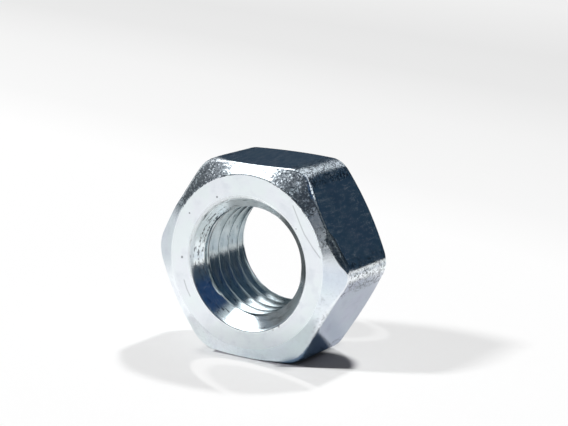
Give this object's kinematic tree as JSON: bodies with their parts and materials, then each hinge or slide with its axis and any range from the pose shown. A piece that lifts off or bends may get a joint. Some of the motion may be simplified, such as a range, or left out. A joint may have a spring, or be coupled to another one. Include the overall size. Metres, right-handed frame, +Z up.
{
  "type": "hexagon nut",
  "caption": "Hexagon nut with a threaded hole, countersunk at both ends, chamfered corners and bright zinc plating, standing on a flat.",
  "frame": {"origin": "on the thread's axis, half way between the two bearing faces", "axes": "Y along the thread's axis, with the face seen in the picture towards -Y; +Z up, out of one flat, so that the nut stands on the opposite flat; two corners point along X"},
  "size_m": [0.021, 0.0098, 0.0188],
  "materials": {
    "zinc_steel": "bright blue-white zinc plating, satin on the pressed flats, rougher and pitted on the chamfered corners"
  },
  "bodies": {
    "root": {"hex_nut": "zinc_steel"}
  },
  "joints": []
}
